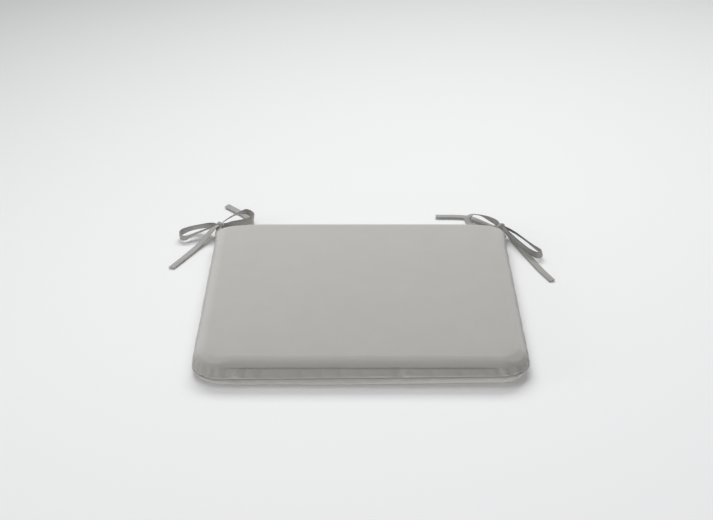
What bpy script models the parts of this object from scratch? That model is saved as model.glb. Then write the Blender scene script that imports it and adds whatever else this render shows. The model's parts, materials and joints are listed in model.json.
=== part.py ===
"""Chair seat pad with two ribbon ties, in metres, +Z up.

The pad lies on its underside. The origin is the middle of that face, the front edge is at -Y
and the two tied corners are at the back, at +Y. The cover is two panels sewn together at a seam
low on the side wall. A zip closes the back of that seam, and foam wrapped in wadding fills it.
"""

from math import cos, pi, radians, sin, sqrt

import bmesh
import bpy
from mathutils import Matrix, Vector

# The pad
PAD_WIDTH = 0.400  # left to right, at the seam
PAD_DEPTH = 0.400  # front to back, at the seam
PAD_HEIGHT = 0.036  # to the top of the crown
CROWN = 0.0035  # how far the middle stands above the rolled edge
CROWN_FLAT = 0.012  # half the small flat at the crown's middle
FRONT_CORNER = 0.038  # corner radii in plan
BACK_CORNER = 0.025
TOP_ROLL = 0.013  # how far in the roll of the top edge reaches
BOTTOM_ROLL = 0.008
SEAM_HEIGHT = 0.011

# What it is made of
FABRIC = 0.0010
WADDING = 0.0045
FOAM_ROLL = 0.008  # where the cover squeezes the foam's top edge round
THREAD = 0.0009
FIT = 0.0003  # air left between pieces that touch

# The zip, on the back wall at the seam
ZIP_LENGTH = 0.300  # of the opening in the cover, or as much of it as the straight of the back takes
SLOT_HALF = 0.0040  # half the height of that opening
TAPE_WIDTH = 0.0050
TAPE_THICK = 0.0006
TAPE_END = 0.006  # tape sewn behind the cover past each end of the opening
TAPE_EDGE = 0.0009  # from the middle of the zip to each tape
COIL_THICK = 0.0020
COIL_HALF = 0.0022
COIL_SPINE = 0.0010
COIL_PITCH = 0.0030
COIL_REACH = 0.0007  # how far a tooth passes the middle
STOP_LENGTH = 0.0025
SLIDER_LENGTH = 0.0090
SLIDER_HALF = 0.0034
SLIDER_PLATE = 0.0009
POST_LENGTH = 0.0025
POST_HALF = 0.0006
BAIL_LENGTH = 0.0050
BAIL_BAR = 0.0010
BAIL_BEAM = 0.0008
BAIL_HALF = 0.0006
PULLER_LENGTH = 0.020
PULLER_HALF = 0.0024
PULLER_BAR = 0.0010  # square section of the bar under the bail
PULLER_RIM = 0.0011
PULLER_ROOM = 0.0009  # from the bar's middle to what it turns under and over

# The ties: 10 mm ribbon, sewn into the seam at its middle and tied in a bow
RIBBON_WIDTH = 0.010
RIBBON_THICK = 0.0010
RIBBON_STEP = 0.0035
KNOT_LENGTH = 0.013
KNOT_DEPTH = 0.010
KNOT_HEIGHT = 0.011
KNOT_ROUND = 0.0035

CUT_PAST = 0.001  # how far a cutter runs past what it cuts
CORNER_STEPS = 7
ROLL_STEPS = 5
CROWN_STEPS = 4

# Worked out from the sizes above
EDGE_HEIGHT = PAD_HEIGHT - CROWN
ZIP_REACH = TAPE_EDGE + TAPE_WIDTH + 0.001
WALL_LOW = SEAM_HEIGHT - ZIP_REACH
WALL_HIGH = SEAM_HEIGHT + ZIP_REACH
PANEL_GAP = THREAD / 2 + FIT
BACK = PAD_DEPTH / 2
TAPE_FACE = BACK - FABRIC - FIT
COIL_FACE = TAPE_FACE - TAPE_THICK - FIT
INNER_PLATE = COIL_FACE - COIL_THICK - FIT
OUTER_PLATE = TAPE_FACE + FIT
ZIP_DEPTH = BACK - INNER_PLATE + SLIDER_PLATE
FOAM_INSET = max(FABRIC + FIT + WADDING, ZIP_DEPTH) + FIT
FLOOR_OF_FOAM = FABRIC + FIT
FOAM_TOP = EDGE_HEIGHT - FABRIC - FIT - WADDING / 2 - FIT
ZIP_END = min(ZIP_LENGTH / 2, PAD_WIDTH / 2 - BACK_CORNER - TAPE_END - FIT)
STOP_OUT = ZIP_END - FIT
STOP_IN = STOP_OUT - STOP_LENGTH
SLIDER_FRONT = STOP_IN - FIT
SLIDER_REAR = SLIDER_FRONT - SLIDER_LENGTH
POST_REAR = SLIDER_FRONT - POST_LENGTH
BAIL_MIDDLE = SLIDER_REAR + SLIDER_LENGTH / 2
PIVOT_Y = OUTER_PLATE + SLIDER_PLATE + PULLER_ROOM
CORNER_IN = BACK_CORNER * (1 - sqrt(0.5)) - FIT * sqrt(2)  # from the square corner to the sewn one

# Routes of the ribbon, chosen by hand: x and y from the sewn corner and z from the floor, all in
# millimetres, then lean in degrees and the share of its width that the ribbon shows there.
# A ribbon with no lean lies flat, and one at 90 or -90 stands on its edge.
# A knot's place is x, y, z and its turn in degrees.
KNOTS = {"left": (-3.9, 31.9, 14, -8), "right": (4.9, 27.9, 14, 128)}
ROOTS = {
    "left": [
        (0, 0, 11, 0, 1),
        (-3.2, 4.9, 11, 0, 1),
        (-4.9, 11.9, 11.5, 0, 0.9),
        (-4.7, 18.9, 12.5, 0, 0.8),
        (-4.5, 26.1, 14, 0, 0.7),
    ],
    "right": [
        (0, 0, 11, 0, 1),
        (3.9, 3.9, 10.3, 0, 1),
        (6.9, 9.4, 7.6, 0, 0.8),
        (5.9, 16.9, 6.4, 0, 0.7),
        (4.9, 24.9, 6.9, 0, 0.7),
    ],
}
STRETCHES = {
    "left": {
        "loop_outer": [
            (-11.2, 32.9, 14, -100, 0.7),
            (-19.9, 35.9, 12.5, -75, 0.9),
            (-33.9, 36.9, 10, -62, 1),
            (-46.9, 32.9, 8.5, -68, 1),
            (-56.9, 22.9, 7.5, -90, 1),
            (-57.9, 11.9, 6.5, -100, 1),
            (-49.9, 6.9, 6.5, -135, 1),
            (-36.9, 16.9, 9, -150, 1),
            (-22.9, 24.9, 11.5, -150, 0.9),
            (-11.5, 30.4, 12.5, -130, 0.7),
        ],
        "tail_front": [
            (-7.3, 24.9, 16.5, -6, 0.7),
            (-13.4, 18.4, 14, -8, 0.95),
            (-21.9, 4.9, 8, -10, 1),
            (-30.9, -12.1, 3.5, -8, 1),
            (-40.9, -34.1, 2, -5, 1),
            (-50.9, -56.6, 2, -5, 1),
            (-60.9, -79.1, 2, 0, 1),
        ],
        "loop_inner": [
            (4, 33.2, 14, -90, 0.7),
            (13.1, 36.9, 11.5, -80, 1),
            (25.1, 42.9, 9.5, -75, 1),
            (36.1, 50.9, 9, -85, 1),
            (42.1, 62.9, 9, -95, 1),
            (38.1, 76.9, 10, -85, 1),
            (29.1, 84.9, 12, -50, 1),
            (19.1, 74.9, 14, -28, 1),
            (9.1, 58.9, 14.5, -26, 0.9),
            (-1.1, 38.7, 15.5, -40, 0.7),
        ],
        "tail_rear": [
            (3.9, 27.2, 10, 0, 0.7),
            (13.1, 31.9, 4, 0, 0.9),
            (23.1, 40.9, 2, 0, 1),
            (33.1, 53.9, 2, 0, 1),
            (36.1, 71.9, 2, 5, 1),
            (28.1, 91.9, 2.5, 15, 1),
            (14.1, 108.9, 3, 25, 1),
            (-1.9, 126.9, 3.5, 30, 1),
        ],
    },
    "right": {
        "loop_outer": [
            (10, 22.5, 15, -110, 0.7),
            (16.4, 15.9, 14, -135, 0.9),
            (25.9, 2.9, 13, -140, 1),
            (36.9, -15.1, 11, -140, 1),
            (45.9, -32.1, 9.5, -120, 1),
            (52.9, -45.1, 8.5, -95, 1),
            (47.9, -52.1, 8, -85, 1),
            (37.9, -43.1, 9, -85, 1),
            (28.9, -25.1, 10, -80, 1),
            (19.9, -5.1, 11, -80, 1),
            (11.9, 9.9, 13, -90, 0.9),
            (7.4, 21.2, 14, -95, 0.7),
        ],
        "tail_front": [
            (9.9, 22.6, 9.6, 0, 0.7),
            (15.4, 15.9, 6.6, 0, 0.8),
            (20.4, 6.9, 3.6, 0, 1),
            (26.4, -10.1, 2, 0, 1),
            (32.9, -33.1, 2, 0, 1),
            (40.9, -59.1, 2, 0, 1),
            (49.9, -88.1, 2, 0, 1),
            (60.9, -118.1, 2, 0, 1),
        ],
        "loop_inner": [
            (1.6, 34.1, 15.5, -90, 0.7),
            (-6.1, 44.9, 16, -75, 1),
            (-14.1, 56.9, 15, -55, 1),
            (-23.1, 67.9, 14, -30, 1),
            (-32.1, 73.9, 12, -10, 1),
            (-39.1, 69.9, 8.5, 0, 1),
            (-38.1, 60.9, 5, 0, 1),
            (-30.1, 51.9, 3, 0, 1),
            (-19.1, 43.9, 3.5, 0, 1),
            (-9.1, 36.9, 7, -20, 0.9),
            (-2.6, 31.4, 11, -60, 0.7),
        ],
        "tail_rear": [
            (2.2, 35.1, 10, 0, 0.7),
            (-8.1, 50.9, 5, 0, 1),
            (-19.1, 66.9, 3, 8, 1),
            (-33.1, 81.9, 3, 12, 1),
            (-50.1, 87.9, 3, 14, 1),
            (-84.1, 88.9, 3, 14, 1),
        ],
    },
}

COVER_GREY = (0.47, 0.47, 0.44)
THREAD_GREY = (0.40, 0.40, 0.37)
TAPE_GREY = (0.50, 0.50, 0.47)
COIL_GREY = (0.45, 0.45, 0.43)
FOAM_CREAM = (0.80, 0.78, 0.62)
WADDING_WHITE = (0.88, 0.88, 0.86)
STEEL = (0.62, 0.62, 0.60)
STEEL_FINISH = {"roughness": 0.35, "metallic": 1.0}


def clear_scene():
    for obj in list(bpy.data.objects):
        bpy.data.objects.remove(obj, do_unlink=True)


def material(name, colour, roughness=0.9, metallic=0.0):
    made = bpy.data.materials.new(name)
    made.use_nodes = True
    shader = made.node_tree.nodes["Principled BSDF"]
    shader.inputs["Base Color"].default_value = (*colour, 1)
    shader.inputs["Roughness"].default_value = roughness
    shader.inputs["Metallic"].default_value = metallic
    return made


def to_object(name, bm, colour, **finish):
    """A new object from this mesh, with its faces out and a material of its own."""
    bmesh.ops.recalc_face_normals(bm, faces=bm.faces)
    mesh = bpy.data.meshes.new(name)
    bm.to_mesh(mesh)
    bm.free()
    mesh.materials.append(material(name, colour, **finish))
    obj = bpy.data.objects.new(name, mesh)
    bpy.context.collection.objects.link(obj)
    return obj


def smooth(obj, angle=35):
    obj.data.shade_smooth()
    obj.data.set_sharp_from_angle(angle=radians(angle))
    return obj


def loft(name, rings, colour):
    """A closed solid through rings of points, with a flat face over the first and the last."""
    bm = bmesh.new()
    rows = [[bm.verts.new(point) for point in ring] for ring in rings]
    count = len(rows[0])
    for row, after in zip(rows, rows[1:]):
        for i in range(count):
            j = (i + 1) % count
            bm.faces.new((row[i], row[j], after[j], after[i]))
    bm.faces.new(reversed(rows[0]))
    bm.faces.new(rows[-1])
    return smooth(to_object(name, bm, colour))


def box(bm, x, y, z):
    """Adds a box between two limits on each axis."""
    size = Matrix.Diagonal((x[1] - x[0], y[1] - y[0], z[1] - z[0], 1))
    middle = Vector((sum(x) / 2, sum(y) / 2, sum(z) / 2))
    bmesh.ops.create_cube(bm, size=1, matrix=Matrix.Translation(middle) @ size)


def box_object(name, x, y, z, colour, **finish):
    bm = bmesh.new()
    box(bm, x, y, z)
    return to_object(name, bm, colour, **finish)


def combine(obj, helper, operation):
    """Joins or cuts obj with a helper, which then stays as a guide that isn't rendered."""
    change = obj.modifiers.new(helper.name, "BOOLEAN")
    change.operation = operation
    change.solver = "EXACT"
    change.object = helper
    helper.hide_render = True
    helper.display_type = "WIRE"


# ---- the pad's outline and its section ----


def outline(inset, z):
    """The pad's plan at this distance in from the seam line, as a ring of points."""
    half_x, half_y = PAD_WIDTH / 2 - inset, PAD_DEPTH / 2 - inset
    corners = [(1, 1, BACK_CORNER), (-1, 1, BACK_CORNER), (-1, -1, FRONT_CORNER), (1, -1, FRONT_CORNER)]
    points = []
    for quarter, (side_x, side_y, radius) in enumerate(corners):
        left = max(radius - inset, radius / 6)
        middle_x, middle_y = side_x * (half_x - left), side_y * (half_y - left)
        for step in range(CORNER_STEPS + 1):
            angle = (quarter + step / CORNER_STEPS) * pi / 2
            points.append((middle_x + left * cos(angle), middle_y + left * sin(angle), z))
    return points


def rolled():
    """(inward, upward) shares of a roll, from the top of a wall to the flat above it."""
    turns = [step / ROLL_STEPS * pi / 2 for step in range(ROLL_STEPS + 1)]
    return [(1 - cos(turn), sin(turn)) for turn in turns]


def bottom_section():
    """(inset, z) up the outside, from the face that rests to the straight wall."""
    return [(BOTTOM_ROLL * (1 - up), WALL_LOW * across) for across, up in rolled()]


def top_section():
    """(inset, z) from the top of the straight wall over the roll and up the crown."""
    height = EDGE_HEIGHT - WALL_HIGH
    section = [(TOP_ROLL * across, WALL_HIGH + height * up) for across, up in rolled()]
    inner = min(PAD_WIDTH, PAD_DEPTH) / 2 - CROWN_FLAT
    for step in range(1, CROWN_STEPS + 1):
        share = step / CROWN_STEPS
        inset = TOP_ROLL + (inner - TOP_ROLL) * share
        section.append((inset, EDGE_HEIGHT + CROWN * (1 - (1 - share) ** 2)))
    return section


def foam_section(side, low, top):
    """(inset, z) up the foam's side and over its rounded top edge."""
    roll = [(side + FOAM_ROLL * across, top - FOAM_ROLL * (1 - up)) for across, up in rolled()]
    return [(side, low), *roll]


def moved_in(section, distance):
    """The same section, moved in by a distance square to itself."""
    moved = []
    for i, (inset, z) in enumerate(section):
        before = section[max(i - 1, 0)]
        after = section[min(i + 1, len(section) - 1)]
        run, rise = after[0] - before[0], after[1] - before[1]
        length = sqrt(run * run + rise * rise)
        moved.append((inset + distance * rise / length, z - distance * run / length))
    return moved


def rings(section):
    return [outline(inset, z) for inset, z in section]


def cover_bottom_panel():
    rim = SEAM_HEIGHT - PANEL_GAP
    outside = [(PAD_WIDTH / 4, 0.0), *bottom_section(), (0.0, rim)]
    inside = moved_in(outside, FABRIC)
    inside[-1] = (FABRIC, rim)
    inside[0] = (PAD_WIDTH / 4, FABRIC)
    inside[1] = (BOTTOM_ROLL + FABRIC / 2, FABRIC)
    return loft("cover_bottom_panel", rings([*outside, *reversed(inside)]), COVER_GREY)


def cover_top_panel():
    rim = SEAM_HEIGHT + PANEL_GAP
    outside = [(0.0, rim), *top_section()]
    inside = moved_in(outside, FABRIC)
    inside[0] = (FABRIC, rim)
    return loft("cover_top_panel", rings([*reversed(outside), *inside]), COVER_GREY)


def foam_core():
    section = foam_section(FOAM_INSET, FLOOR_OF_FOAM, FOAM_TOP)
    return loft("foam_core", rings(section), FOAM_CREAM)


def wadding_wrap():
    """Wadding over the foam's top and down its sides, open below."""
    outside = moved_in([(0.0, WALL_LOW), *top_section()], FABRIC + FIT)
    inside = foam_section(FOAM_INSET - FIT, WALL_LOW, FOAM_TOP + FIT)
    return loft("wadding_wrap", rings([*reversed(outside), *inside]), WADDING_WHITE)


def zip_opening(name, targets, past_ends, depth, half):
    """Cuts a long opening in the back wall, at the seam."""
    x = ZIP_END + past_ends
    cutter = box_object(
        name, (-x, x), (BACK - depth, BACK + CUT_PAST), (SEAM_HEIGHT - half, SEAM_HEIGHT + half), COVER_GREY
    )
    for target in targets:
        combine(target, cutter, "DIFFERENCE")


def seam_stitching():
    """The sewing thread in the seam, from one end of the zip round the front to the other."""
    ring = outline(FABRIC / 2, SEAM_HEIGHT)
    end = ZIP_END + FIT + THREAD
    middle = CORNER_STEPS + 1
    around = [*ring[middle:], *ring[:middle]]
    back = BACK - FABRIC / 2
    points = [(-end, back, SEAM_HEIGHT), *around, (end, back, SEAM_HEIGHT)]
    curve = bpy.data.curves.new("seam_stitching", "CURVE")
    curve.dimensions = "3D"
    curve.bevel_depth = THREAD / 2
    curve.bevel_resolution = 1
    curve.use_fill_caps = True
    spline = curve.splines.new("POLY")
    spline.points.add(len(points) - 1)
    for point, place in zip(spline.points, points):
        point.co = (*place, 1)
    curve.materials.append(material("seam_stitching", THREAD_GREY))
    obj = bpy.data.objects.new("seam_stitching", curve)
    bpy.context.collection.objects.link(obj)
    return obj


# ---- the zip ----


def zip_tape(name, side):
    x = ZIP_END + TAPE_END
    z = sorted(SEAM_HEIGHT + side * reach for reach in (TAPE_EDGE, TAPE_EDGE + TAPE_WIDTH))
    return box_object(name, (-x, x), (TAPE_FACE - TAPE_THICK, TAPE_FACE), z, TAPE_GREY)


def zip_coil(name, side, shift):
    """One half of the coil: a spine with teeth that pass between the other half's."""
    start, end = -STOP_IN + FIT, POST_REAR - FIT
    tooth = COIL_PITCH / 2 - FIT
    spine, back, tip = COIL_HALF - COIL_SPINE, COIL_HALF, -COIL_REACH
    edge = [(start, back), (start, spine)]
    x = start + shift + FIT
    while x + tooth < end:
        edge += [(x, spine), (x, tip), (x + tooth, tip), (x + tooth, spine)]
        x += COIL_PITCH
    edge += [(end, spine), (end, back)]
    bm = bmesh.new()
    inner = COIL_FACE - COIL_THICK
    face = bm.faces.new([bm.verts.new((x, inner, SEAM_HEIGHT + side * reach)) for x, reach in edge])
    grown = bmesh.ops.extrude_face_region(bm, geom=[face])
    moved = [v for v in grown["geom"] if isinstance(v, bmesh.types.BMVert)]
    bmesh.ops.translate(bm, verts=moved, vec=(0, COIL_THICK, 0))
    return to_object(name, bm, COIL_GREY, roughness=0.5)


def zip_stops():
    """A stop on each tape at the closed end, and one across both at the open end."""
    y = (COIL_FACE - COIL_THICK, COIL_FACE)
    for name, side in (("zip_stop_upper", 1), ("zip_stop_lower", -1)):
        z = sorted(SEAM_HEIGHT + side * reach for reach in (TAPE_EDGE, COIL_HALF))
        box_object(name, (STOP_IN, STOP_OUT), y, z, STEEL, **STEEL_FINISH)
    z = (SEAM_HEIGHT - COIL_HALF, SEAM_HEIGHT + COIL_HALF)
    box_object("zip_stop_end", (-STOP_OUT, -STOP_IN), y, z, STEEL, **STEEL_FINISH)


def zip_slider():
    """Two plates joined by the post that parts the teeth, with the puller's bail outside."""
    z = (SEAM_HEIGHT - SLIDER_HALF, SEAM_HEIGHT + SLIDER_HALF)
    x = (SLIDER_REAR, SLIDER_FRONT)
    bm = bmesh.new()
    box(bm, x, (OUTER_PLATE, OUTER_PLATE + SLIDER_PLATE), z)
    slider = to_object("zip_slider", bm, STEEL, **STEEL_FINISH)
    post = (SEAM_HEIGHT - POST_HALF, SEAM_HEIGHT + POST_HALF)
    bail = (SEAM_HEIGHT - BAIL_HALF, SEAM_HEIGHT + BAIL_HALF)
    bail_x = (BAIL_MIDDLE - BAIL_LENGTH / 2, BAIL_MIDDLE + BAIL_LENGTH / 2)
    foot, beam = OUTER_PLATE + SLIDER_PLATE / 2, PIVOT_Y + PULLER_ROOM
    inner_lip = SLIDER_HALF - COIL_HALF - 2 * FIT
    lip_y = (INNER_PLATE - SLIDER_PLATE / 2, TAPE_FACE - TAPE_THICK - FIT)
    pieces = [
        ("inner_plate", x, (INNER_PLATE - SLIDER_PLATE, INNER_PLATE), z),
        ("lip_upper", x, lip_y, (z[1] - inner_lip, z[1])),
        ("lip_lower", x, lip_y, (z[0], z[0] + inner_lip)),
        ("post", (POST_REAR, SLIDER_FRONT), (INNER_PLATE - SLIDER_PLATE / 2, foot), post),
        ("bail_rear", (bail_x[0], bail_x[0] + BAIL_BAR), (foot, beam + BAIL_BEAM), bail),
        ("bail_front", (bail_x[1] - BAIL_BAR, bail_x[1]), (foot, beam + BAIL_BEAM), bail),
        ("bail_beam", bail_x, (beam, beam + BAIL_BEAM), bail),
    ]
    for name, *limits in pieces:
        combine(slider, box_object(f"slider_{name}", *limits, STEEL), "UNION")
    return slider


def zip_puller():
    """A flat tab. Its end bar turns under the bail, whose foot stands in its window."""
    window = BAIL_LENGTH / 2 + 2 * FIT
    bar = PULLER_BAR / 2
    end = BAIL_MIDDLE + bar
    y = (PIVOT_Y - bar, PIVOT_Y + bar)
    z = (SEAM_HEIGHT - PULLER_HALF, SEAM_HEIGHT + PULLER_HALF)
    puller = box_object("zip_puller", (end - PULLER_LENGTH, end), y, z, STEEL, **STEEL_FINISH)
    opening = PULLER_HALF - PULLER_RIM
    cutter = box_object(
        "puller_window",
        (BAIL_MIDDLE - window, BAIL_MIDDLE - bar),
        (y[0] - CUT_PAST, y[1] + CUT_PAST),
        (SEAM_HEIGHT - opening, SEAM_HEIGHT + opening),
        COVER_GREY,
    )
    combine(puller, cutter, "DIFFERENCE")
    pivot = Vector((BAIL_MIDDLE, PIVOT_Y, SEAM_HEIGHT))
    puller.data.transform(Matrix.Translation(-pivot))
    puller.location = pivot
    cutter.data.transform(Matrix.Translation(-pivot))
    cutter.location = pivot
    return puller


# ---- the ties ----


def catmull_rom(before, start, end, after, share):
    """The point this share of the way from start to end, on the smooth line through all four."""
    middle = []
    for a, b, c, d in zip(before, start, end, after):
        bend, swing = 2 * a - 5 * b + 4 * c - d, 3 * b - a - 3 * c + d
        middle.append(b + share * (c - a + share * (bend + share * swing)) / 2)
    return middle


def route(points):
    """A smooth line through the points, with a row about every RIBBON_STEP."""
    first = [2 * a - b for a, b in zip(points[0], points[1])]
    last = [2 * a - b for a, b in zip(points[-1], points[-2])]
    padded = [first, *points, last]
    rows = []
    for i in range(1, len(padded) - 2):
        length = (Vector(padded[i + 1][:3]) - Vector(padded[i][:3])).length / 1000
        steps = max(1, round(length / RIBBON_STEP))
        rows += [catmull_rom(*padded[i - 1 : i + 3], step / steps) for step in range(steps)]
    return [*rows, list(points[-1])]


def ribbon(name, points, thick, corner):
    """A flat ribbon along the points, whose object's origin is on the hinge at the sewn corner."""
    rows = route(points)
    places = [Vector(row[:3]) / 1000 for row in rows]
    sections = []
    for i, row in enumerate(rows):
        along = (places[min(i + 1, len(rows) - 1)] - places[max(i - 1, 0)]).normalized()
        level = along.cross(Vector((0, 0, 1))).normalized()
        lean = radians(row[3])
        across = cos(lean) * level + sin(lean) * level.cross(along)
        wide = across * row[4] * RIBBON_WIDTH / 2
        deep = across.cross(along) * thick / 2
        middle = places[i] - Vector((0, 0, corner.z))
        corners = (wide + deep, deep - wide, -wide - deep, wide - deep)
        sections.append([middle + reach for reach in corners])
    obj = loft(name, sections, COVER_GREY)
    obj.location = corner
    return obj


def knot(name, place, corner):
    """The drawn-up knot as a round-edged block, turned along its bow."""
    x, y, z, turn = place
    bm = bmesh.new()
    size = Matrix.Diagonal((KNOT_LENGTH, KNOT_DEPTH, KNOT_HEIGHT, 1))
    middle = Matrix.Translation(Vector((x, y, z)) / 1000 - Vector((0, 0, corner.z)))
    bmesh.ops.create_cube(bm, size=1, matrix=middle @ Matrix.Rotation(radians(turn), 4, "Z") @ size)
    bmesh.ops.bevel(bm, geom=bm.edges[:], offset=KNOT_ROUND, segments=3, profile=0.5, affect="EDGES")
    obj = smooth(to_object(name, bm, COVER_GREY), angle=50)
    obj.location = corner
    return obj


def tie(side, hand):
    """One corner's ribbon: its sewn root, the knot, two loops and two tails."""
    corner = Vector((hand * (PAD_WIDTH / 2 - CORNER_IN), BACK - CORNER_IN, SEAM_HEIGHT))
    ribbon(f"tie_{side}_root", ROOTS[side], 2 * RIBBON_THICK + FIT, corner)
    knot(f"tie_{side}_knot", KNOTS[side], corner)
    for name, points in STRETCHES[side].items():
        ribbon(f"tie_{side}_{name}", points, RIBBON_THICK, corner)


def build():
    clear_scene()
    panels = [cover_bottom_panel(), cover_top_panel()]
    wadding = wadding_wrap()
    foam_core()
    seam_stitching()
    zip_opening("zip_slot", panels, 0.0, 0.01, SLOT_HALF)
    zip_opening("zip_pocket", [wadding], TAPE_END + FIT, FOAM_INSET, ZIP_REACH)
    zip_tape("zip_tape_upper", 1)
    zip_tape("zip_tape_lower", -1)
    zip_coil("zip_coil_upper", 1, 0.0)
    zip_coil("zip_coil_lower", -1, COIL_PITCH / 2)
    zip_stops()
    zip_slider()
    zip_puller()
    tie("left", -1)
    tie("right", 1)


build()
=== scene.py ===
"""Chair seat pad with a ribbon tied in a bow at each back corner.

Lengths are in metres and +Z is up. The pad's front edge is at -Y, and its two tied corners and its
zip are at +Y. Every piece stands where its CAD solid is and rides on that solid's body.
"""

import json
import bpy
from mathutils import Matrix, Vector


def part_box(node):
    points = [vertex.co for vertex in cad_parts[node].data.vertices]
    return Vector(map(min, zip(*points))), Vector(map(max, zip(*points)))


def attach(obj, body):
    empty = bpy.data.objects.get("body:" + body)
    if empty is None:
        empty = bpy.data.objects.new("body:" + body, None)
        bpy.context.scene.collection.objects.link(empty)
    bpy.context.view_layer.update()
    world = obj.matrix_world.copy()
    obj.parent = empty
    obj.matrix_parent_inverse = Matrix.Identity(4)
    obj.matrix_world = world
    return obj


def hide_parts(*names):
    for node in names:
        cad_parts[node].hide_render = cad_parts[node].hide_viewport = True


bl_info = {
    "name": "Tied Chair Seat Pad",
    "version": (1, 0, 0),
    "blender": (4, 5, 0),
    "location": "3D View > Sidebar > Seat Pad",
    "description": "Makes the sewn cover, filling, zip and ribbon ties of a chair seat pad",
    "category": "Add Mesh",
}

from math import cos, exp, pi, radians, sin, sqrt

import bmesh
import bpy
from mathutils import Matrix, Vector, noise

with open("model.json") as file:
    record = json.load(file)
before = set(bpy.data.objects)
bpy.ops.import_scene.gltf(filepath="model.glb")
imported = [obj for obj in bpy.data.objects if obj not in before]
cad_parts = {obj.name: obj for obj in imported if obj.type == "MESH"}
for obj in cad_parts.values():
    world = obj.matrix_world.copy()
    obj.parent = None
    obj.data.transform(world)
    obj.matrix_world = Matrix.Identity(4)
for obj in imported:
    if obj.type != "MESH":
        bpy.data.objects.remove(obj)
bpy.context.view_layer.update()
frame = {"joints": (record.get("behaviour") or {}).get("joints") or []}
HINGES = {joint["name"]: Vector(joint["pos_m"]) for joint in frame["joints"] if "pos_m" in joint}
PAD_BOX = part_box("cover_bottom_panel")
HALF = PAD_BOX[1].x
SEAM = HINGES["tie_left_swing"].z
MM = 0.001

# Corner radii of the plan, in the order the sides are walked: front, right, back, left.
CORNERS = (0.038, 0.038, 0.025, 0.025)

# Sections of the pad as (inset, height) in millimetres. The cover's two start at the edge that is
# turned in at the seam.
TOP_SECTION = (
    (2.6, 11.1), (1.4, 11.05), (0.7, 11.1), (0.3, 11.5), (0.15, 12.6), (0.3, 14.4), (0.9, 16.4),
    (1.9, 18.6), (3.0, 20.4), (5.0, 21.8), (5.6, 22.4), (4.5, 23.0), (4.8, 24.6), (6.6, 27.2),
    (9.2, 29.7), (12.4, 31.6), (16.0, 32.9),
)
BOTTOM_SECTION = (
    (2.6, 10.9), (1.4, 10.95), (0.7, 10.9), (0.3, 10.5), (0.1, 9.4), (0.1, 7.4), (0.5, 5.2), (1.5, 3.0),
    (3.3, 1.2), (5.6, 0.3), (9.0, 0.0), (14.0, 0.0),
)
# The top section's insets at the sides, where no crease forms, and along the zip, which holds the
# cover upright. Each goes with the height at the same place in TOP_SECTION.
SIDE_INSETS = (2.6, 1.4, 0.7, 0.3, 0.15, 0.4, 0.9, 1.7, 2.7, 3.4, 3.7, 4.1, 4.7, 6.0, 8.4, 11.6, 15.0)
ZIP_INSETS = (0.6, 0.5, 0.4, 0.3, 0.25, 0.2, 0.2, 0.2, 0.3, 0.4, 0.5, 0.8, 1.4, 3.0, 5.8, 10.0, 15.0)
WADDING_SECTION = (
    (6.4, 2.6), (5.8, 4.5), (5.4, 7.0), (6.0, 9.5), (6.6, 11.0), (6.0, 12.6), (5.8, 15.0), (6.4, 17.5),
    (7.4, 20.0), (8.0, 22.0), (7.8, 23.6), (7.8, 25.2), (8.4, 26.8), (10.0, 28.5), (12.2, 29.6),
    (15.0, 30.4),
)
FOAM_TOP_SECTION = (
    (8.8, 11.0), (8.0, 14.0), (8.8, 18.0), (10.0, 21.0), (10.2, 23.5), (10.8, 25.5), (12.2, 27.0),
    (14.4, 28.0), (17.5, 28.6),
)
FOAM_FLOOR_SECTION = (
    (8.8, 11.0), (8.0, 8.0), (7.8, 5.2), (8.2, 3.4), (9.2, 2.0), (11.5, 1.5), (17.5, 1.4),
)
WADDING = 0.0013  # thickness of the wadding

# Gathers in the skirt as (place along the side from its middle, depth, half width), in millimetres.
# A depth below zero is a ridge.
FRONT_GATHERS = (
    (-183, 0.9, 2.6), (-173, 0.8, 2.4), (-159, 0.5, 2.8), (-146, -0.8, 2.4), (-137.5, 0.7, 2.6),
    (-118.5, 0.7, 3.4), (-96, 0.3, 3.5), (-71, 0.45, 3.2), (-47, 0.25, 3.5), (-24, 0.4, 3.0), (2, 0.2, 4.0),
    (44, 0.6, 3.6), (53, -0.4, 3.0), (84, 0.3, 4.0), (118, 0.3, 4.0), (150, 0.3, 3.0), (162, 0.8, 2.4),
    (168, -0.5, 2.0), (174, 0.9, 2.2), (181, -0.5, 2.0), (187, 1.1, 2.4),
)
SIDE_GATHERS = (
    (-184, 0.9, 2.4), (-174, 0.6, 2.6), (-158, 0.5, 3.0), (-131, 0.35, 3.4), (-92, 0.3, 4.0),
    (-35, 0.25, 4.0), (28, 0.3, 4.0), (83, 0.25, 4.0), (136, 0.4, 3.4), (163, 0.6, 2.8), (177, 0.8, 2.6),
    (187, 0.9, 2.4),
)
GATHER_SCALE = 5.0  # of the depths above, at the front and the sides
BACK_GATHER_SCALE = 0.8  # at the back, which the zip holds straighter
DEEPEST_GATHER = 2.3
# Nips where the seam is drawn in at the corners, as (x, y), and their depth and half width.
NIPS = (
    (-198.5, -180), (-187, -192), (187, -192.5), (194.5, -186), (199, -177), (-191, 193), (191, 193),
)
NIP_DEPTH, NIP_WIDTH = 2.6, 1.9
# Hollows in the corners of the top, as (x, y, depth, half width) in millimetres.
HOLLOWS = ((-176, -192, 2.0, 12), (188, -186, 2.6, 9), (-194, 194, 3.4, 22), (194, 194, 2.6, 20))
# Pinches that pull the edge of the top inwards, as (x, y, depth, half width) in millimetres.
PINCHES = ((190, -188, 4.2, 4.6), (-183, -193, 2.0, 5.0), (-170, -198, 1.0, 4.0))
# How far each panel's edge stands back from the middle of the zip, in millimetres.
ZIP_GAP = 4.2

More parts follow.
